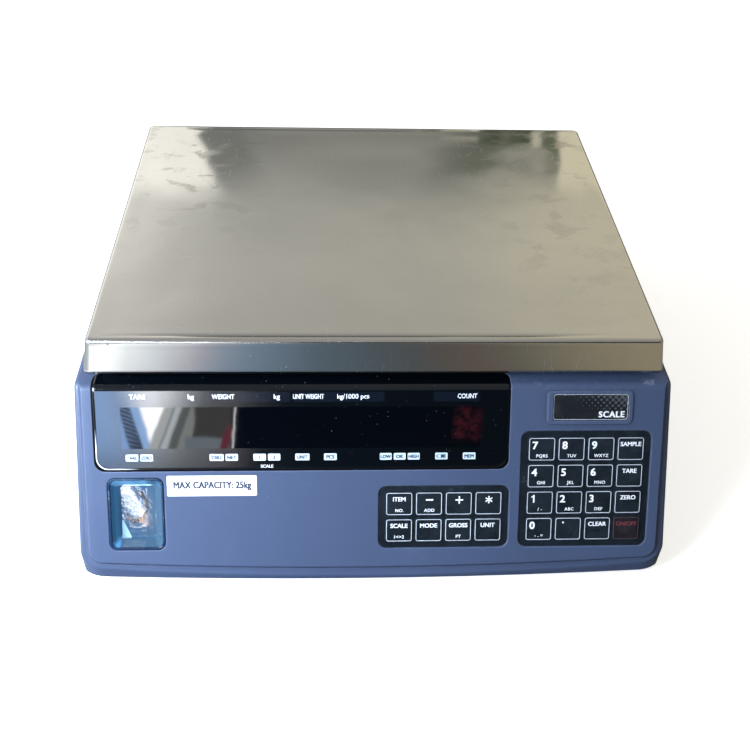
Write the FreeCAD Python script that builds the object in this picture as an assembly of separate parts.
import FreeCAD, Part
import math
import os
from FreeCAD import Vector

# ---------------------------------------------------------------------------
# Bench counting scale, millimetres.
# Frame: origin on the table at the middle of the scale's footprint,
# +X to the right, +Y to the back, +Z up. The operator faces the -Y side.
# On the sloping panel a place is (x, v, depth): v runs down the slope from the
# bend, depth runs inward. A panel rectangle is (x0, x1, v0, v1).
# ---------------------------------------------------------------------------
os.makedirs("parts", exist_ok=True)

# upper case
CASE_HW_BOT, CASE_HW_TOP = 177.5, 175.4               # half width at the foot and at the deck
CASE_Y_FRONT_END, CASE_Y_FRONT_MID = -158.9, -162.4   # bowed front
CASE_Y_BACK = 162.4
CASE_Z_BOT, DECK_Z = 8.0, 111.0
CASE_R_FRONT, CASE_R_BACK = 5.5, 14.0
CASE_R_EASE = 16.5                    # added to the front corner radius towards the front
CASE_EASE = math.radians(57.0)        # turn of the tight part of the front corner
BOW_X = 165.0                         # half span over which a bow is measured
WALL, DECK_T = 3.0, 3.5
EDGE_R = 2.2
# sloping operator panel, with a raised plateau
PANEL_DEG = 57.0
BEND_Y = -99.8                        # the plateau surface meets the deck here
BEND_R = 5.0
LEDGE = 2.0                           # plateau height above the ledge around it
PANEL_IN = 4.5                        # depth of the panel's inner face
PLAT_HW, PLAT_R = 170.8, 7.0
PLAT_V_END, PLAT_V_MID = 106.8, 111.3                 # bowed lower edge
PLAT_SPREAD = 1.9                     # chamfer width from the plateau top to the ledge
# weighing pan
PAN_X, PAN_Y0, PAN_Y1 = 165.0, -91.8, 158.2
PAN_Z, PAN_SKIRT, PAN_FLARE, PAN_T = 139.0, 21.5, 4.2, 1.2
PAN_CY = 0.5 * (PAN_Y0 + PAN_Y1)
# display
LENS_X0, LENS_X1, LENS_V1, LENS_Y1 = -165.1, 78.5, 50.8, -88.5
LENS_T = 2.0
LENS_GAP = 0.15
DISPLAY_D = 12.0                      # depth of the display board's front
DISPLAY_SPANS = ((-147.0, -98.0), (-93.0, -44.0), (-38.0, 5.0), (13.0, 60.0))
# keypads
KEY_W, KEY_H, KEY_R = 16.1, 14.4, 1.5
KEY_PITCH_X, KEY_PITCH_V = 17.9, 16.65
KEY_GAP = 0.2
SEAT_D = 2.0                          # depth of the seats sunk into the plateau
CUT_D = 6.0                           # depth of cuts that pass through the panel
KEYBOARD_D0, KEYBOARD_D1 = 4.5, 6.1
KEY_ROWS = [38.8 + KEY_PITCH_V * i for i in range(4)]
RIGHT_PAD = {
    "seat": (86.0, 164.3, 27.7, 99.9),
    "opening": (88.0, 161.2, 29.7, 97.9),
    "board": (86.5, 161.9, 28.3, 99.3),
    "columns": [98.35 + KEY_PITCH_X * i for i in range(4)],
    "rows": KEY_ROWS,
    "keys": (("key_7", "key_8", "key_9", "key_sample"),
             ("key_4", "key_5", "key_6", "key_tare"),
             ("key_1", "key_2", "key_3", "key_zero"),
             ("key_0", "key_point", "key_clear", "key_power"))}
LEFT_PAD = {
    "seat": (1.15, 79.4, 61.0, 99.8),
    "opening": (3.15, 77.4, 63.0, 97.8),
    "board": (1.5, 79.0, 61.5, 99.3),
    "columns": [13.45 + KEY_PITCH_X * i for i in range(4)],
    "rows": KEY_ROWS[2:],
    "keys": (("key_item_code", "key_minus", "key_plus", "key_star"),
             ("key_platform", "key_mode", "key_net_gross", "key_unit_weight"))}
# name plate bezel and recess, level window, capacity label
BEZEL = (100.45, 151.95, 3.2, 23.7)
PLATE_SEAT = (103.75, 149.35, 4.9, 21.3)
LEVEL_SEAT = (-158.5, -125.75, 55.0, 99.4)
LABEL = (-123.75, -71.05, 53.6, 66.1)
# levelling feet
FEET = {"front_left": (-148.0, -98.0), "front_right": (148.0, -98.0),
        "rear_left": (-148.0, 138.0), "rear_right": (148.0, 138.0)}
STUD_R = 5.0
# load cell: fixed at the -X end, loaded at the +X end
CELL_L, CELL_W, CELL_H, CELL_Z = 150.0, 38.0, 24.0, 42.0
CELL_TOP = CELL_Z + CELL_H
FIXED_X, LOADED_X = -55.0, 55.0
FIXED_BOLTS = (FIXED_X - 10.0, FIXED_X + 10.0)
LOADED_BOLTS = (LOADED_X - 10.0, LOADED_X + 10.0)
STOP_X = 58.0
STOP_YS = (PAN_CY - 12.0, PAN_CY + 12.0)
# sub-platter
SUB_Z0, SUB_Z1 = 118.0, 126.0
CUSHIONS = [(sx * 151.0, PAN_CY + sy * 113.0) for sx in (-1, 1) for sy in (-1, 1)]
# lower case
TRAY_Z0, TRAY_Z1, FLOOR = 4.5, 22.0, 2.5
TRAY_HW, TRAY_INSET_Y = 174.0, 3.3    # the inset is from the upper case, front and back
TRAY_R_FRONT, TRAY_R_BACK = 4.0, 11.0
TRAY_WALL = 2.5
FLOOR_TOP = TRAY_Z0 + FLOOR
ROOT_Z = TRAY_Z0 + 1.0                # floor features start inside the floor
ROOT_X = TRAY_HW - TRAY_WALL + 0.1    # and reach just into the side walls
CHASSIS_Z0, CHASSIS_Z1 = 9.0, 14.0
RIB_Z1 = CHASSIS_Z1 + 7.0
POSTS = ((165.7, -138.0), (-165.7, -138.0), (165.7, 96.0), (-165.7, 96.0),
         (75.0, 152.5), (-75.0, 152.5))
CHASSIS_SCREWS = ((80.0, -45.0), (-80.0, -45.0), (80.0, 118.0), (-80.0, 118.0))
# battery and its door
BAT_X0, BAT_X1, BAT_Y0, BAT_Y1, BAT_Z0, BAT_Z1 = -165.0, -95.0, -20.0, 81.0, 12.0, 59.0
TERMINAL_W, TERMINAL_H = 6.8, 5.5
TERMINALS_X0 = (-112.0, -150.0)
DOOR_X0, DOOR_X1, DOOR_Y0, DOOR_Y1 = -166.0, -94.0, -22.0, 83.8
DOOR_GAP = 0.3
HINGE_Y, HINGE_Z, HINGE_R, PIN_R = 79.5, 7.7, 3.2, 2.0
# main board and rear sockets
BOARD_Z0, BOARD_Z1 = 29.0, 30.6
JACK_X, JACK_Z = 108.5, BOARD_Z1 + 5.6
PORT_X, PORT_Z = 135.5, 37.5
PORT_SCREWS_X = (PORT_X - 12.5, PORT_X + 12.5)

PANEL_SIN = math.sin(math.radians(PANEL_DEG))
PANEL_COS = math.cos(math.radians(PANEL_DEG))
PANEL = FreeCAD.Placement(Vector(0, BEND_Y, DECK_Z),
                          FreeCAD.Rotation(Vector(1, 0, 0), PANEL_DEG))


# --------------------------------------------------------------- helpers
def box(x0, x1, y0, y1, z0, z1):
    return Part.makeBox(x1 - x0, y1 - y0, z1 - z0, Vector(x0, y0, z0))


def cyl(x, y, z0, z1, r):
    return Part.makeCylinder(r, z1 - z0, Vector(x, y, z0))


def rod_x(x, y, z, length, r):
    return Part.makeCylinder(r, length, Vector(x, y, z), Vector(1, 0, 0))


def rod_y(x, y, z, length, r):
    return Part.makeCylinder(r, length, Vector(x, y, z), Vector(0, 1, 0))


def fuse(shapes):
    fused = shapes[0]
    if len(shapes) > 1:
        fused = fused.multiFuse(shapes[1:])
    return fused.removeSplitter()


def fillet(shape, r, edges):
    """Fillet the edges, or return the shape as it is where the fillet fails."""
    if not edges:
        return shape
    # guards against edge sets that the kernel cannot round
    try:
        rounded = shape.makeFillet(r, edges)
        if rounded.isValid() and len(rounded.Solids) == len(shape.Solids):
            return rounded
    except Exception:
        pass
    return shape


def edges_by_bounds(shape, test):
    return [edge for edge in shape.Edges if test(edge.BoundBox)]


def flat_wire(z, segments):
    """Wire at height z. A segment is two (x, y) points for a line, three for an arc."""
    edges = []
    for segment in segments:
        points = [Vector(x, y, z) for x, y in segment]
        if len(points) == 2:
            edges.append(Part.makeLine(*points))
        else:
            edges.append(Part.Arc(*points).toShape())
    return Part.Wire(edges)


def mirrored(segments):
    """The segments mirrored in x = 0, and run backwards."""
    return [[(-x, y) for x, y in reversed(segment)] for segment in reversed(segments)]


def polar(x, y, r, angle):
    return x + r * math.cos(angle), y + r * math.sin(angle)


def rounded_rect(x0, x1, y0, y1, r, z):
    cut = r * (1 - math.cos(math.pi / 4))
    return flat_wire(z, [
        [(x0 + r, y0), (x1 - r, y0)],
        [(x1 - r, y0), (x1 - cut, y0 + cut), (x1, y0 + r)],
        [(x1, y0 + r), (x1, y1 - r)],
        [(x1, y1 - r), (x1 - cut, y1 - cut), (x1 - r, y1)],
        [(x1 - r, y1), (x0 + r, y1)],
        [(x0 + r, y1), (x0 + cut, y1 - cut), (x0, y1 - r)],
        [(x0, y1 - r), (x0, y0 + r)],
        [(x0, y0 + r), (x0 + cut, y0 + cut), (x0 + r, y0)]])


def rounded_block(x0, x1, y0, y1, r, z0, z1):
    return Part.Face(rounded_rect(x0, x1, y0, y1, r, z0)).extrude(Vector(0, 0, z1 - z0))


def polygon_face(points):
    return Part.Face(Part.makePolygon(points + [points[0]]))


def polygon_prism(points, z0, z1):
    return polygon_face([Vector(x, y, z0) for x, y in points]).extrude(Vector(0, 0, z1 - z0))


def hexagon(x, y, across_flats, z0, z1, turn=0.0):
    r = across_flats / math.sqrt(3)
    return polygon_prism([polar(x, y, r, math.radians(turn + 60 * i)) for i in range(6)],
                         z0, z1)


def rounded_disc(x, y, z0, z1, r, edge_r):
    """Disc with a rounded top edge."""
    disc = cyl(x, y, z0, z1, r)
    return fillet(disc, edge_r, edges_by_bounds(disc, lambda b: abs(b.ZMin - z1) < 1e-6))


def bar(ax, ay, bx, by, width, z0, z1):
    """Straight flat bar from a to b."""
    length = math.hypot(bx - ax, by - ay)
    nx = -(by - ay) / length * width / 2
    ny = (bx - ax) / length * width / 2
    return polygon_prism([(ax + nx, ay + ny), (bx + nx, by + ny),
                          (bx - nx, by - ny), (ax - nx, ay - ny)], z0, z1)


# panel coordinates: "local" shapes lie flat, with y = -v and z = -depth
def grown(rect, by):
    x0, x1, v0, v1 = rect
    return x0 - by, x1 + by, v0 - by, v1 + by


def local_wire(rect, r, depth):
    x0, x1, v0, v1 = rect
    return rounded_rect(x0, x1, -v1, -v0, r, -depth)


def local_block(rect, r, depth0, depth1):
    return Part.Face(local_wire(rect, r, depth1)).extrude(Vector(0, 0, depth1 - depth0))


def on_panel(shape):
    placed = shape.copy()
    placed.Placement = PANEL.multiply(placed.Placement)
    return placed


def panel_block(rect, r, depth0, depth1):
    return on_panel(local_block(rect, r, depth0, depth1))


def panel_point(x, v, depth):
    return Vector(x, BEND_Y - v * PANEL_COS + depth * PANEL_SIN,
                  DECK_Z - v * PANEL_SIN - depth * PANEL_COS)


VIAL = panel_point(-142.8, 74.0, 17.2)
VIAL_FOOT_Z = VIAL.z - 6.0


# ------------------------------------------------------- outlines of the case
def bow_corner(y_end, y_mid, x, r):
    """Corner arc centred at x, tangent inside the bow through y_end, y_mid, y_end.
    Returns the centre's y, the tangent point and its angle."""
    sag = y_end - y_mid
    bow_r = BOW_X * BOW_X / (2 * sag) + sag / 2
    bow_y = y_mid + bow_r
    y = bow_y - math.sqrt((bow_r - r) ** 2 - x * x)
    angle = math.atan2(y - bow_y, x)
    return y, polar(x, y, r, angle), angle


def plan_wire(z, half_width, inset_y, front_r, back_r):
    """Case outline: bowed front, front corners of two tangent arcs, round back corners."""
    y_mid = CASE_Y_FRONT_MID + inset_y
    y_back = CASE_Y_BACK - inset_y
    ease_r = front_r + CASE_R_EASE
    ease_x = half_width - front_r - CASE_R_EASE * math.cos(CASE_EASE)
    ease_y, tangent, angle = bow_corner(CASE_Y_FRONT_END + inset_y, y_mid, ease_x, ease_r)
    corner_y = ease_y - CASE_R_EASE * math.sin(CASE_EASE)
    join = polar(ease_x, ease_y, ease_r, -CASE_EASE)
    side_front = (half_width, corner_y)
    side_back = (half_width, y_back - back_r)
    back = (half_width - back_r, y_back)
    right = [
        [tangent, polar(ease_x, ease_y, ease_r, (angle - CASE_EASE) / 2), join],
        [join, polar(half_width - front_r, corner_y, front_r, -CASE_EASE / 2), side_front],
        [side_front, side_back],
        [side_back, polar(back[0], side_back[1], back_r, math.pi / 4), back]]
    front_arc = [(-tangent[0], tangent[1]), (0, y_mid), tangent]
    back_line = [back, (-back[0], back[1])]
    return flat_wire(z, [front_arc] + right + [back_line] + mirrored(right))


def plateau_wire(grow, z):
    """Plateau outline in local panel coordinates, run on behind the bend."""
    half_width = PLAT_HW + grow
    r = PLAT_R + grow
    y_mid = -PLAT_V_MID - grow
    y, tangent, angle = bow_corner(-PLAT_V_END - grow, y_mid, half_width - r, r)
    side_front = (half_width, y)
    side_back = (half_width, 40)
    right = [[tangent, polar(half_width - r, y, r, angle / 2), side_front],
             [side_front, side_back]]
    front_arc = [(-tangent[0], tangent[1]), (0, y_mid), tangent]
    back_line = [side_back, (-half_width, 40)]
    return flat_wire(z, [front_arc] + right + [back_line] + mirrored(right))


def behind_slope(top_z, y_at_top, drop):
    """Everything behind the panel slope that leaves height top_z at y_at_top."""
    slope = drop / PANEL_SIN
    y_far, z_low = CASE_Y_BACK + 30, top_z - slope * PANEL_SIN
    points = [(y_far, top_z), (y_at_top, top_z),
              (y_at_top - slope * PANEL_COS, z_low), (y_far, z_low)]
    return polygon_face([Vector(-220, y, z) for y, z in points]).extrude(Vector(440, 0, 0))


def case_body(z0, top_z, inset, depth):
    """Tapered case, inset all round, with its front sloped at a depth in the panel."""
    wires = [plan_wire(z, half_width - inset, inset, CASE_R_FRONT - inset, CASE_R_BACK - inset)
             for z, half_width in ((z0, CASE_HW_BOT), (top_z, CASE_HW_TOP))]
    y_at_top = BEND_Y + depth / PANEL_SIN - (DECK_Z - top_z) * PANEL_COS / PANEL_SIN
    return Part.makeLoft(wires, True, True).common(
        behind_slope(top_z, y_at_top, top_z - z0 + 20))


def window_strip(grow, depth0, bend_r, low_r, top_r):
    """Bent strip from the deck, over the bend and down the panel, with round corners."""
    x0, x1 = LENS_X0 - grow, LENS_X1 + grow
    v_low, y_top = LENS_V1 + grow, LENS_Y1 + grow
    # corners where deck and panel meet at the outer and inner depth
    outer, inner = [panel_point(0, depth * (1 - PANEL_COS) / PANEL_SIN, depth)
                    for depth in (depth0, LENS_T)]
    low_outer, low_inner = panel_point(0, v_low, depth0), panel_point(0, v_low, LENS_T)
    profile = [(y_top, DECK_Z - depth0), (outer.y, DECK_Z - depth0),
               (low_outer.y, low_outer.z), (low_inner.y, low_inner.z),
               (inner.y, DECK_Z - LENS_T), (y_top, DECK_Z - LENS_T)]
    strip = polygon_face([Vector(x0, y, z) for y, z in profile]).extrude(Vector(x1 - x0, 0, 0))

    inner_r = max(bend_r - (LENS_T - depth0), 0.5)
    for corner, r in ((outer, bend_r), (inner, inner_r)):
        strip = fillet(strip, r, edges_by_bounds(strip, lambda b: (
            abs(b.YMin - corner.y) < 1e-3 and abs(b.YMax - corner.y) < 1e-3
            and abs(b.ZMin - corner.z) < 1e-3 and b.XLength > 1)))

    normal = Vector(0, -PANEL_SIN, PANEL_COS)

    def across_panel(edge):
        if edge.BoundBox.XLength >= 1e-6 or len(edge.Vertexes) != 2:
            return False
        along = (edge.Vertexes[0].Point - edge.Vertexes[1].Point).normalize()
        return abs(along.dot(normal)) > 0.999
    strip = fillet(strip, low_r, [edge for edge in strip.Edges if across_panel(edge)])
    return fillet(strip, top_r, edges_by_bounds(strip, lambda b: (
        abs(b.YMin - y_top) < 1e-4 and abs(b.YMax - y_top) < 1e-4
        and b.ZLength > 0.5 and b.XLength < 1e-6)))


# ------------------------------------------------------------ upper case
def make_ledge_body():
    """Solid case down to the ledge level, with its edges rounded."""
    body = case_body(CASE_Z_BOT, DECK_Z, 0.0, LEDGE)

    def on_ledge(edge):
        return all(abs((p.z - DECK_Z) * PANEL_COS
                       - (p.y - BEND_Y - LEDGE / PANEL_SIN) * PANEL_SIN) < 0.02
                   for p in edge.discretize(5))
    body = fillet(body, BEND_R, [edge for edge in body.Edges if on_ledge(edge)
                                 and edge.BoundBox.ZMin > DECK_Z - 0.1])
    ledge = [edge for edge in body.Edges if on_ledge(edge)
             and (edge.BoundBox.XLength < 300 or edge.BoundBox.ZMax < 30)]
    deck = edges_by_bounds(body, lambda b: (
        b.ZMin > DECK_Z - 0.01 and not (b.XLength > 300 and b.YMax < 0)))
    bend_ends = edges_by_bounds(body, lambda b: (
        b.ZMax > DECK_Z - 0.1 and b.ZMin < DECK_Z - 1 and b.YMax < -90
        and b.XLength < 5 and abs(b.XMin) > 150))
    return fillet(body, EDGE_R, ledge + deck + bend_ends)


def make_plateau():
    """Raised field of the panel with a chamfered, bowed edge."""
    top = Part.makeLoft([plateau_wire(PLAT_SPREAD, -LEDGE), plateau_wire(0, 0)], True, True)
    low = Part.Face(plateau_wire(PLAT_SPREAD, -8.0)).extrude(Vector(0, 0, 8.0 - LEDGE))
    plateau = on_panel(fuse([top, low])).common(box(-220, 220, -200, 200, 0, DECK_Z))
    plateau = fillet(plateau, BEND_R, edges_by_bounds(plateau, lambda b: (
        b.XLength > 300 and abs(b.ZMin - DECK_Z) < 1e-3 and abs(b.YMin - BEND_Y) < 1e-3)))

    def on_crest(edge):
        bounds = edge.BoundBox
        if bounds.XLength > 300 and bounds.ZMin > 50:
            return False
        for point in edge.discretize(5):
            local_z = PANEL.inverse().multVec(point).z
            if abs(local_z) > 0.02 and abs(abs(point.x) - PLAT_HW) > 0.02:
                return False
            if abs(point.z - DECK_Z) > 0.01 and local_z < -3.0:
                return False
        return bounds.YMax < BEND_Y + 2.6
    plateau = fillet(plateau, 0.9, [edge for edge in plateau.Edges if on_crest(edge)])
    return plateau.common(case_body(CASE_Z_BOT, DECK_Z, 0.0, 0.0))


def upper_case_cuts():
    # deck hole for the column of the sub-platter, and pilot holes of the screw posts
    cuts = [box(LOADED_X - 27, LOADED_X + 27, PAN_CY - 25, PAN_CY + 25, 100.0, 120.0)]
    cuts += [cyl(x, y, 9.0, 26.0, 2.0) for x, y in POSTS]
    # seat of the display window, and the opening behind it
    cuts.append(window_strip(LENS_GAP, -1.5, BEND_R + 1.5, 6.1, 5.1))
    cuts.append(panel_block((-158.0, 71.0, 8.0, 44.0), 3.0, 0.0, CUT_D))
    # keypad seats, each with a narrower opening through the wall
    for pad in (RIGHT_PAD, LEFT_PAD):
        cuts.append(panel_block(pad["seat"], 5.0, -2.0, SEAT_D))
        cuts.append(panel_block(pad["opening"], 3.5, 0.0, CUT_D))
    cuts.append(panel_block(LEVEL_SEAT, 4.5, -2.0, CUT_D))
    cuts.append(panel_block(PLATE_SEAT, 2.0, -3.0, 0.3))
    # rear sockets
    cuts.append(box(JACK_X - 5.5, JACK_X + 5.5, 158.0, 164.0, 30.0, 42.0))
    port = rounded_block(-9.3, 9.3, -5.0, 5.0, 2.0, 0, 10)
    port.Placement = FreeCAD.Placement(Vector(PORT_X, 166.0, PORT_Z),
                                       FreeCAD.Rotation(Vector(1, 0, 0), 90))
    cuts.append(port)
    cuts += [rod_y(x, 157.0, PORT_Z, 10, 2.6) for x in PORT_SCREWS_X]
    return cuts


def on_rim(edge, rect):
    """Whether the edge lies on the plateau surface at the rim of a seat."""
    x0, x1, v0, v1 = grown(rect, 0.3)
    for point in edge.discretize(3):
        local = PANEL.inverse().multVec(point)
        if abs(local.z) > 1e-3 or not (x0 < local.x < x1 and v0 < -local.y < v1):
            return False
    return True


def make_upper_case():
    hull = make_ledge_body()
    hull = hull.fuse(make_plateau())
    bezel = local_block(BEZEL, 3.2, -0.9, 1.0)
    bezel = fillet(bezel, 0.7, edges_by_bounds(bezel, lambda b: b.ZMin > 0.899))
    hull = hull.fuse(on_panel(bezel))
    shell = hull.cut(case_body(CASE_Z_BOT - 5, DECK_Z - DECK_T, WALL, PANEL_IN))

    # screw posts, display board posts, and the collar round the deck hole
    posts = [cyl(x, y, 10.0, 110.0, 3.5) for x, y in POSTS]
    for x in (-150.0, -40.0, 65.0):
        for v in (4.8, 47.6):
            posts.append(on_panel(cyl(x, -v, -DISPLAY_D, -DISPLAY_D + 9.0, 2.2)))
    collar = box(LOADED_X - 29, LOADED_X + 29, PAN_CY - 27, PAN_CY + 27, 108.0, 115.0)
    shell = shell.multiFuse([post.common(hull) for post in posts] + [collar])
    shell = shell.cut(upper_case_cuts()).removeSplitter()

    for rect in (RIGHT_PAD["seat"], LEFT_PAD["seat"], LEVEL_SEAT):
        shell = fillet(shell, 0.7, [edge for edge in shell.Edges if on_rim(edge, rect)])
    return shell


# ------------------------------------------------- display and panel fittings
def make_display_modules():
    return Part.makeCompound([panel_block((x0, x1, 12.0, 38.0), 1.0, 4.7, DISPLAY_D)
                              for x0, x1 in DISPLAY_SPANS])


def make_level_window():
    """Sunken tub with a flange."""
    flange = local_block(grown(LEVEL_SEAT, -0.1), 4.4, 0.0, SEAT_D)
    tub = Part.makeLoft([local_wire(grown(LEVEL_SEAT, -0.1), 4.4, SEAT_D),
                         local_wire(grown(LEVEL_SEAT, -4.7), 3.6, 8.5)], True, True)
    hollow = Part.makeLoft([local_wire(grown(LEVEL_SEAT, -1.0), 3.6, -0.3),
                            local_wire(grown(LEVEL_SEAT, -6.0), 2.5, 7.0)], True, True)
    return on_panel(fuse([flange, tub]).cut(hollow))


def make_level_vial():
    return fuse([rounded_disc(VIAL.x, VIAL.y, VIAL.z - 4.5, VIAL.z + 4.5, 7.0, 0.8),
                 cyl(VIAL.x, VIAL.y, VIAL_FOOT_Z, VIAL.z - 4.5, 9.0)])


# --------------------------------------------------------------- keypads
def key_rect(x, v):
    return x - KEY_W / 2, x + KEY_W / 2, v - KEY_H / 2, v + KEY_H / 2


def make_key(x, v):
    """Key cap with a flange and a round plunger beneath."""
    cap = local_block(key_rect(x, v), KEY_R, -0.1, 2.1)
    cap = fillet(cap, 0.35, edges_by_bounds(cap, lambda b: b.ZMin > 0.09))
    flange = local_block(grown(key_rect(x, v), 0.45), 1.8, 2.05, 3.05)
    return on_panel(fuse([cap, flange, cyl(x, -v, -3.45, -3.0, 3.0)]))


def make_keys(pad):
    return {name: make_key(x, v) for v, names in zip(pad["rows"], pad["keys"])
            for x, name in zip(pad["columns"], names)}


def make_keypad_sheet(pad):
    sheet = local_block(grown(pad["seat"], -0.15), 4.85, 0.8, SEAT_D)
    holes = [local_block(grown(key_rect(x, v), KEY_GAP), KEY_R + KEY_GAP, -1, 3)
             for v in pad["rows"] for x in pad["columns"]]
    return on_panel(sheet.cut(holes))


def make_keypad_board(pad):
    """Board with a low cone under each key."""
    board = local_block(pad["board"], 1.5, KEYBOARD_D0, KEYBOARD_D1)
    domes = [Part.makeCone(4.5, 3.0, 0.5, Vector(x, -v, -KEYBOARD_D0))
             for v in pad["rows"] for x in pad["columns"]]
    return on_panel(fuse([board] + domes))


# --------------------------------------------------------- lower case
def make_lower_case():
    outer = Part.Face(plan_wire(TRAY_Z0, TRAY_HW, TRAY_INSET_Y, TRAY_R_FRONT, TRAY_R_BACK)
                      ).extrude(Vector(0, 0, TRAY_Z1 - TRAY_Z0))
    outer = fillet(outer, 1.5, edges_by_bounds(outer, lambda b: b.ZMax < TRAY_Z0 + 1e-4))
    hollow = Part.Face(plan_wire(FLOOR_TOP, TRAY_HW - TRAY_WALL, TRAY_INSET_Y + TRAY_WALL,
                                 TRAY_R_FRONT - TRAY_WALL, TRAY_R_BACK - TRAY_WALL)
                       ).extrude(Vector(0, 0, 30))
    # trimmed to clear the inner face of the sloping panel
    tray = outer.cut(hollow).common(
        behind_slope(DECK_Z, BEND_Y + (PANEL_IN + 0.3) / PANEL_SIN, 130))

    # posts: case screws, chassis screws, main board, level vial
    added = [cyl(x, y, ROOT_Z, 10.0, 6.0).common(box(-ROOT_X, ROOT_X, -160, 156.7, 0, 40))
             for x, y in POSTS]
    added += [cyl(x, y, ROOT_Z, CHASSIS_Z0, 6.5) for x, y in CHASSIS_SCREWS]
    added += [cyl(x, y, ROOT_Z, BOARD_Z0, 3.2)
              for x, y in ((99.0, 16.0), (154.0, 16.0), (99.0, 152.0), (122.0, 152.0))]
    added.append(cyl(VIAL.x, VIAL.y, ROOT_Z, VIAL_FOOT_Z, 6.0))
    # hinge blocks and the fence round the battery
    added += [box(x0, x1, 74.0, 85.0, ROOT_Z, 11.6)
              for x0, x1 in ((-ROOT_X, DOOR_X0), (DOOR_X1, -90.0))]
    added.append(box(-ROOT_X, -90.5, -25.5, 86.5, ROOT_Z, 30.0).cut(
        box(-167.4, -92.5, -23.5, 84.5, 0, 40)))
    tray = tray.multiFuse(added)
    # stiffening ribs on the floor
    tray = tray.multiFuse([box(-88, 88, -118.0, -116.0, ROOT_Z, 12.0),
                           box(-60, -58, -152, -118, ROOT_Z, 12.0),
                           box(58, 60, -152, -118, ROOT_Z, 12.0)])

    cuts = [box(DOOR_X0, DOOR_X1, DOOR_Y0, DOOR_Y1, 0, FLOOR_TOP + 0.01)]
    cuts += [rod_x(x, HINGE_Y, HINGE_Z, 3.2, PIN_R + 0.06) for x in (DOOR_X0 - 3.2, DOOR_X1)]
    cuts += [cyl(x, y, 0, FLOOR_TOP + 0.01, 18.0) for x, y in FEET.values()]
    for x, y in POSTS + CHASSIS_SCREWS:
        cuts.append(cyl(x, y, 0, 7.5, 4.3))
        cuts.append(cyl(x, y, 0, 12.0, 2.2))
    # row of drain and vent slots
    cuts += [box(-40 + i * 10, -36 + i * 10, -100, -75, 0, 8) for i in range(9)]
    return tray.cut(cuts).removeSplitter()


def make_case_screw(x, y):
    """Cross-slotted screw with its head down."""
    head = rounded_disc(0, 0, 0, 2.6, 4.0, 0.9)
    head.rotate(Vector(0, 0, 1.3), Vector(1, 0, 0), 180)
    head.translate(Vector(x, y, 4.9))
    cross = [box(x - 2.4, x + 2.4, y - 0.45, y + 0.45, 4.0, 6.2),
             box(x - 0.45, x + 0.45, y - 2.4, y + 2.4, 4.0, 6.2)]
    return fuse([head, cyl(x, y, 7.4, 23.0, 1.95)]).cut(cross)


# ------------------------------------------------------- battery, door
def make_battery():
    shoulder_z = BAT_Z1 - 3
    return fuse([
        rounded_block(BAT_X0, BAT_X1, BAT_Y0, BAT_Y1, 1.5, BAT_Z0, shoulder_z),
        box(BAT_X0 + 3, BAT_X1 - 3, BAT_Y0 + 3, BAT_Y1 - 3, shoulder_z, BAT_Z1)]
        + [box(x0, x0 + TERMINAL_W, 60, 66.3, BAT_Z1, BAT_Z1 + TERMINAL_H)
           for x0 in TERMINALS_X0])


def make_battery_door():
    """Floor flap with a hinge barrel and pins at the back and a latch at the front."""
    x0, x1, y0 = DOOR_X0 + DOOR_GAP, DOOR_X1 - DOOR_GAP, DOOR_Y0 + DOOR_GAP
    door = box(x0, x1, y0, HINGE_Y, TRAY_Z0, FLOOR_TOP)
    barrel = rod_x(x0, HINGE_Y, HINGE_Z, x1 - x0, HINGE_R)
    pins = rod_x(DOOR_X0 - 2.5, HINGE_Y, HINGE_Z, DOOR_X1 - DOOR_X0 + 5.0, PIN_R)
    latch = box(-136, -124, y0, DOOR_Y0 + 2.0, ROOT_Z, 12.5)
    ribs = [box(DOOR_X0 + 8 + i * 18, DOOR_X0 + 10 + i * 18, DOOR_Y0 + 8, 66,
                ROOT_Z, BAT_Z0 - 0.1) for i in range(4)]
    grooves = [box(-137 + i * 4, -135 + i * 4, DOOR_Y0 + 4, DOOR_Y0 + 12, 0, TRAY_Z0 + 0.8)
               for i in range(4)]
    return fuse([door, barrel, pins, latch] + ribs).cut(grooves)


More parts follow.
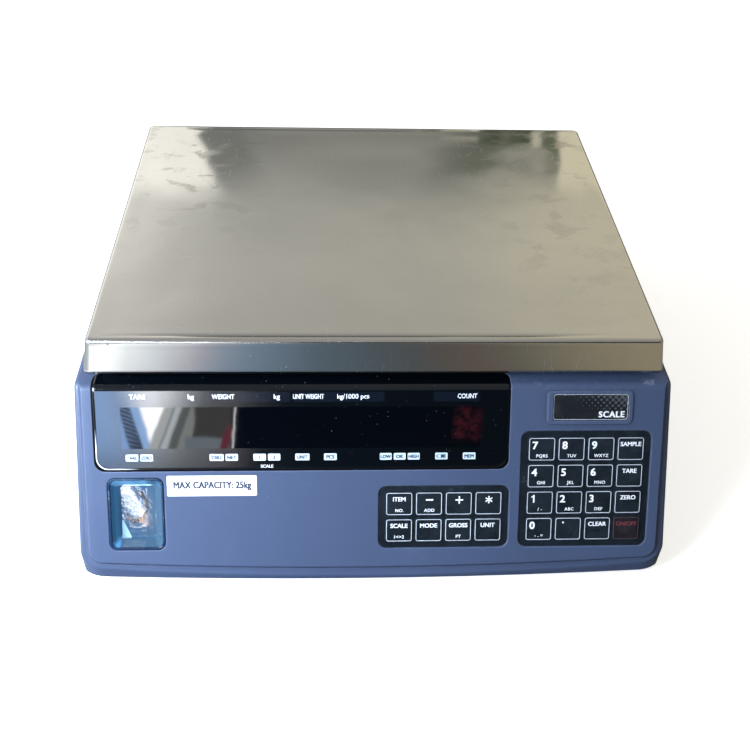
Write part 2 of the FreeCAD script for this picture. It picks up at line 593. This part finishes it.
# ------------------------------------------------------------- chassis
def make_chassis():
    solids = [rounded_block(-88, 88, -55, 128, 8, CHASSIS_Z0, CHASSIS_Z1)]
    # ribbed arm and boss for each foot
    for x, y in FEET.values():
        side = 1 if x > 0 else -1
        arm_y, rib_y = (-32, -24) if y < 0 else (112, 108)
        solids.append(bar(side * 62, arm_y, x, y, 26, CHASSIS_Z0, CHASSIS_Z1))
        solids.append(bar(side * 50, rib_y, x, y, 5, CHASSIS_Z1, RIB_Z1))
        solids.append(cyl(x, y, CHASSIS_Z0, CHASSIS_Z1, 13.0))
        solids.append(cyl(x, y, CHASSIS_Z0, 24.0, 10.0))
    solids += [cyl(x, y, CHASSIS_Z0, 24.0, 5.0) for x, y in CHASSIS_SCREWS]
    # block under the fixed end of the load cell
    solids.append(rounded_block(FIXED_X - 21, FIXED_X + 21, PAN_CY - 20, PAN_CY + 20, 3,
                                CHASSIS_Z0, CELL_Z))
    # rim ribs, then the posts of the overload stops
    solids += [box(x0, x0 + 5, -50, 122, CHASSIS_Z1, RIB_Z1) for x0 in (-88, 83)]
    solids += [box(-80, 80, y0, y0 + 5, CHASSIS_Z1, RIB_Z1) for y0 in (-55, 123)]
    solids += [cyl(STOP_X, y, CHASSIS_Z0, 30.0, 6.5) for y in STOP_YS]

    windows = ((-70, -5, -45, 0), (5, 70, -45, 0), (-70, -5, 66, 115), (5, 70, 66, 115),
               (-20, 40, 14, 52))                     # x0, x1, y0, y1
    cuts = [rounded_block(*window, 6, 0, 40) for window in windows]
    cuts += [cyl(x, y, 0, 40, STUD_R + 0.08) for x, y in FEET.values()]
    cuts += [cyl(x, y, 0, 40, 2.0) for x, y in CHASSIS_SCREWS]
    for x in FIXED_BOLTS:
        cuts.append(cyl(x, PAN_CY, 0, 50, 3.3))
        cuts.append(cyl(x, PAN_CY, 0, 22.0, 5.6))
    cuts += [cyl(STOP_X, y, 16.0, 40.0, 2.55) for y in STOP_YS]
    return fuse(solids).cut(cuts).removeSplitter()


# ----------------------------------------------------------- load cell
def make_load_cell():
    """Bar with a double-hole flexure."""
    mid_z = CELL_Z + CELL_H / 2
    cell = box(-CELL_L / 2, CELL_L / 2, PAN_CY - CELL_W / 2, PAN_CY + CELL_W / 2,
               CELL_Z, CELL_TOP)
    cuts = [rod_y(x, PAN_CY - 30, mid_z, 60, 9.0) for x in (-15, 15)]
    cuts.append(box(-15, 15, PAN_CY - 30, PAN_CY + 30, mid_z - 3, mid_z + 3))
    cuts += [cyl(x, PAN_CY, CELL_Z - 1, 57.0, 3.05) for x in FIXED_BOLTS]
    cuts += [cyl(x, PAN_CY, 51.0, CELL_TOP + 1, 3.05) for x in LOADED_BOLTS]
    cell = cell.cut(cuts)
    return fillet(cell, 1.0, edges_by_bounds(
        cell, lambda b: b.YLength < 1e-6 and b.XLength > 140))


def make_bolt(x, y, head_z, tip_z):
    """6 mm socket head cap screw from the outer face of its head to its tip."""
    step = 1 if tip_z > head_z else -1
    head = cyl(x, y, *sorted((head_z, head_z + 6 * step)), 5.0)
    shank = cyl(x, y, *sorted((head_z + step, tip_z)), 3.0)
    return fuse([head, shank]).cut(
        hexagon(x, y, 5.0, *sorted((head_z - step, head_z + 3 * step))))


def make_bolts(places_x, head_z, tip_z):
    return Part.makeCompound([make_bolt(x, PAN_CY, head_z, tip_z) for x in places_x])


def make_overload_stop(y):
    """Slotted stud with a lock nut."""
    stud = fuse([cyl(STOP_X, y, 18.0, 41.2, 2.5), hexagon(STOP_X, y, 8.0, 30.0, 34.0, 15)])
    return stud.cut(box(STOP_X - 8, STOP_X + 8, y - .5, y + .5, 17, 19.5))


# --------------------------------------------- sub-platter and platter
def make_sub_platter():
    """Column on the loaded end of the cell, centre plate and four ribbed arms."""
    def plate_window():
        return rounded_block(-42, 24, PAN_CY - 20, PAN_CY + 20, 5, 110, 130)

    solids = [rounded_block(LOADED_X - 22, LOADED_X + 22, PAN_CY - 20, PAN_CY + 20, 4,
                            CELL_TOP, SUB_Z1),
              rounded_block(-52, 84, PAN_CY - 30, PAN_CY + 30, 8, SUB_Z0, SUB_Z1)]
    for x, y in CUSHIONS:
        solids.append(bar(0, PAN_CY, x, y, 24, SUB_Z0 + 4, SUB_Z1))
        solids.append(bar(0, PAN_CY, x, y, 8, SUB_Z0, SUB_Z0 + 4))
        solids.append(cyl(x, y, SUB_Z0, SUB_Z1, 12.0))
    body = fuse(solids)
    cuts = [rounded_block(LOADED_X - 18, LOADED_X + 18, PAN_CY - 16, PAN_CY + 16, 3, 74, 130),
            plate_window()]
    cuts += [cyl(x, PAN_CY, 60, 80, 3.3) for x in LOADED_BOLTS]
    cuts += [cyl(x, y, 110, 130, 4.0) for x, y in CUSHIONS]
    # narrow bars that cross the window in the centre plate
    cross = fuse([bar(0, PAN_CY, x, y, 8, SUB_Z0, SUB_Z1).common(plate_window())
                  for x, y in CUSHIONS])
    return fuse([body.cut(cuts), cross])


def make_cushion(x, y):
    return fuse([rounded_disc(x, y, SUB_Z1, PAN_Z - PAN_T, 10.0, 1.2),
                 cyl(x, y, 119.0, SUB_Z1 + 0.5, 3.95)])


def pan_solid(inset, top_r, low_r, edge_r):
    """Flared block under the pan's surface; the inset one runs out below the skirt."""
    top_z = PAN_Z - inset
    skirt_z = PAN_Z - PAN_SKIRT
    flare = PAN_FLARE * (top_z - skirt_z) / PAN_SKIRT
    top = rounded_rect(-PAN_X + inset, PAN_X - inset, PAN_Y0 + inset, PAN_Y1 - inset,
                       top_r, top_z)
    low = rounded_rect(-PAN_X - flare + inset, PAN_X + flare - inset,
                       PAN_Y0 - flare + inset, PAN_Y1 + flare - inset,
                       low_r, skirt_z - (0.5 if inset else 0.0))
    solid = Part.makeLoft([low, top], True, True)
    return fillet(solid, edge_r, edges_by_bounds(solid, lambda b: b.ZMin > top_z - 1e-3))


# ------------------------------------------------------------ the feet
def make_foot_pad(x, y):
    pad = fuse([cyl(x, y, 0, 2.6, 12.0), cyl(x, y, 2.6, 5.6, 4.0)])
    return fillet(pad, 0.6, edges_by_bounds(pad, lambda b: b.ZMax < 1e-6))


def make_foot_screw(x, y):
    """Notched thumb wheel with a stud on top and a socket for the pad beneath."""
    wheel_z0, wheel_z1, notches = 2.75, 6.75, 16
    wheel = cyl(x, y, wheel_z0, wheel_z1, 15.0)
    wheel = wheel.cut([cyl(*polar(x, y, 15.6, 2 * math.pi * i / notches), 0, 10, 1.5)
                       for i in range(notches)])
    screw = fuse([wheel, cyl(x, y, wheel_z1, 26.0, STUD_R)]).cut(cyl(x, y, 2.0, 6.0, 4.07))
    return fillet(screw, 0.8, edges_by_bounds(screw, lambda b: b.ZMin > 25.9))


# ------------------------------------------------- main board, sockets
BOARD_BOXES = (                       # x0, x1, y0, y1, height
    (120, 138, 70, 88, 2.4), (118, 132, 100, 110, 2.2), (140, 154, 60, 66, 2.0),
    (97, 114, 14, 19.5, 6), (118, 132, 14, 19.5, 6), (97, 108, 26, 31.5, 6),
    (106, 118, 57, 63, 6), (98, 106, 92, 101, 7), (97, 99, 112, 132, 24),
    (100.5, 104.5, 114, 124, 15), (140, 156, 108, 130, 13))
BOARD_CANS = (                        # x, y, radius, height
    (112, 128, 5, 12), (124, 126, 4, 11), (140, 96, 5, 14), (146, 82, 3, 7))


def make_board_components():
    return Part.makeCompound(
        [box(x0, x1, y0, y1, BOARD_Z1, BOARD_Z1 + h) for x0, x1, y0, y1, h in BOARD_BOXES]
        + [cyl(x, y, BOARD_Z1, BOARD_Z1 + h, r) for x, y, r, h in BOARD_CANS])


def make_dc_jack():
    jack = box(JACK_X - 5, JACK_X + 5, 146.0, 162.2, BOARD_Z1, BOARD_Z1 + 11)
    jack = jack.cut([rod_y(JACK_X, 152.5, JACK_Z, 11, 3.9)])
    return jack.fuse(rod_y(JACK_X, 151.9, JACK_Z, 9.5, 1.0)).removeSplitter()


def d_block(width, height, y0, y1):
    """D-shaped block of the serial port, narrower at the bottom."""
    top_x, low_x, half_h = width / 2, width / 2 - 1.5, height / 2
    points = [(-top_x, half_h), (top_x, half_h), (low_x, -half_h), (-low_x, -half_h)]
    block = polygon_face([Vector(PORT_X + x, y0, PORT_Z + z) for x, z in points]
                         ).extrude(Vector(0, y1 - y0, 0))
    return fillet(block, 1.2, edges_by_bounds(block, lambda b: b.YLength > (y1 - y0) - 1e-3))


def make_serial_port():
    port = fuse([box(120.0, 151.0, 158.4, 159.3, 31.3, 43.7), d_block(17.5, 8.8, 159.0, 162.3),
                 box(122, 149, 146.0, 158.4, BOARD_Z1, 42.0)])
    port = port.cut(d_block(16.4, 7.7, 160.0, 163.0))
    port = port.fuse([rod_y(x, 158.8, PORT_Z, 3.6, 2.5) for x in PORT_SCREWS_X])
    port = port.cut([rod_y(x, 154.0, PORT_Z, 8.4, 1.42) for x in PORT_SCREWS_X])
    # pins: five above, four below
    pins = [rod_y(PORT_X + (i - (count - 1) / 2) * 2.75, 159.5, PORT_Z + dz, 2.2, 0.5)
            for count, dz in ((5, 1.4), (4, -1.4)) for i in range(count)]
    return port.fuse(pins).removeSplitter()


# -------------------------------------------------------------- wiring
def make_cable(r, panel_ends, route):
    """Cable through points on the panel (x, v, depth), then through x, y, z points."""
    points = [panel_point(*end) for end in panel_ends] + [Vector(*place) for place in route]
    solids = []
    for i in range(len(points) - 1):
        run = points[i + 1] - points[i]
        solids.append(Part.makeCylinder(r, run.Length, points[i], run))
        if i:
            solids.append(Part.makeSphere(r, points[i]))
    return fuse(solids)


def make_wiring():
    plug_z = BOARD_Z1 + 6
    battery_plug_z = BOARD_Z1 + 7
    terminal_z = BAT_Z1 + TERMINAL_H
    red_x, black_x = [x0 + TERMINAL_W / 2 for x0 in TERMINALS_X0]
    cables = (
        # right keypad, left keypad, display
        (2.4, [(125, 45, KEYBOARD_D1), (125, 45, 14)],
         [(125, -20, 52), (125, 16.7, 46), (125, 16.7, plug_z)]),
        (2.4, [(40, 75, KEYBOARD_D1), (40, 75, 14)],
         [(60, -60, 60), (104, -20, 52), (104, 16.7, 46), (104, 16.7, plug_z)]),
        (2.4, [(30, 30, 13.6), (30, 30, 22)],
         [(62, -40, 74), (102, 10, 62), (102, 28.7, 52), (102, 28.7, plug_z)]),
        # load cell
        (2.2, [], [(-10, PAN_CY + 19, 45.5), (-10, PAN_CY + 30, 45.5), (-10, PAN_CY + 34, 56),
                   (80, PAN_CY + 34, 56), (112, 60, 50), (112, 60, plug_z)]),
        # battery
        (1.3, [], [(red_x, 63.2, terminal_z), (red_x, 63.2, 72), (red_x, 92, 72),
                   (86, 92, 72), (100.2, 94.6, 56), (100.2, 94.6, battery_plug_z)]),
        (1.3, [], [(black_x, 63.2, terminal_z), (black_x, 63.2, 72), (black_x, 97, 72),
                   (88, 97, 72), (103.6, 98.4, 56), (103.6, 98.4, battery_plug_z)]))
    return Part.makeCompound([make_cable(*cable) for cable in cables])


# -------------------------------------------------------------- export
def export_part(name, shape):
    solids = shape.Solids
    assert solids, name
    assert all(solid.isValid() for solid in solids), name
    part = solids[0] if len(solids) == 1 else Part.makeCompound(solids)
    part.exportStep("parts/" + name + ".step")


parts = {
    "upper_case": make_upper_case(),
    "display_window": window_strip(0.0, 0.0, BEND_R, 6.0, 5.0),
    "display_board": panel_block((-156.0, 70.0, 2.5, 50.0), 1.5, DISPLAY_D, DISPLAY_D + 1.6),
    "display_modules": make_display_modules(),
    "right_keypad_sheet": make_keypad_sheet(RIGHT_PAD),
    "left_keypad_sheet": make_keypad_sheet(LEFT_PAD),
    "keypad_boards": Part.makeCompound([make_keypad_board(p) for p in (RIGHT_PAD, LEFT_PAD)]),
    "name_plate": panel_block(grown(PLATE_SEAT, -0.1), 1.9, -0.3, 0.3),
    "level_window": make_level_window(),
    "level_vial": make_level_vial(),
    "capacity_label": panel_block(LABEL, 0.8, -0.2, 0.0),
    "lower_case": make_lower_case(),
    "case_screws": Part.makeCompound([make_case_screw(x, y)
                                      for x, y in POSTS + CHASSIS_SCREWS]),
    "battery": make_battery(),
    "battery_door": make_battery_door(),
    "chassis": make_chassis(),
    "load_cell": make_load_cell(),
    "load_cell_base_bolts": make_bolts(FIXED_BOLTS, 16.0, 55.0),
    "sub_platter_bolts": make_bolts(LOADED_BOLTS, 80.0, 52.0),
    "overload_stops": Part.makeCompound([make_overload_stop(y) for y in STOP_YS]),
    "sub_platter": make_sub_platter(),
    "platter_cushions": Part.makeCompound([make_cushion(x, y) for x, y in CUSHIONS]),
    "platter": pan_solid(0.0, 3.0, 4.0, 2.4).cut(pan_solid(PAN_T, 2.0, 3.0, 1.3)),
    "main_board": rounded_block(95.0, 158.0, 12.0, 158.4, 1.5, BOARD_Z0, BOARD_Z1),
    "board_components": make_board_components(),
    "dc_jack": make_dc_jack(),
    "serial_port": make_serial_port(),
    "wiring": make_wiring(),
}
parts.update(make_keys(RIGHT_PAD))
parts.update(make_keys(LEFT_PAD))
for corner, (x, y) in FEET.items():
    parts["foot_pad_" + corner] = make_foot_pad(x, y)
    parts["foot_screw_" + corner] = make_foot_screw(x, y)

for name, shape in parts.items():
    export_part(name, shape)
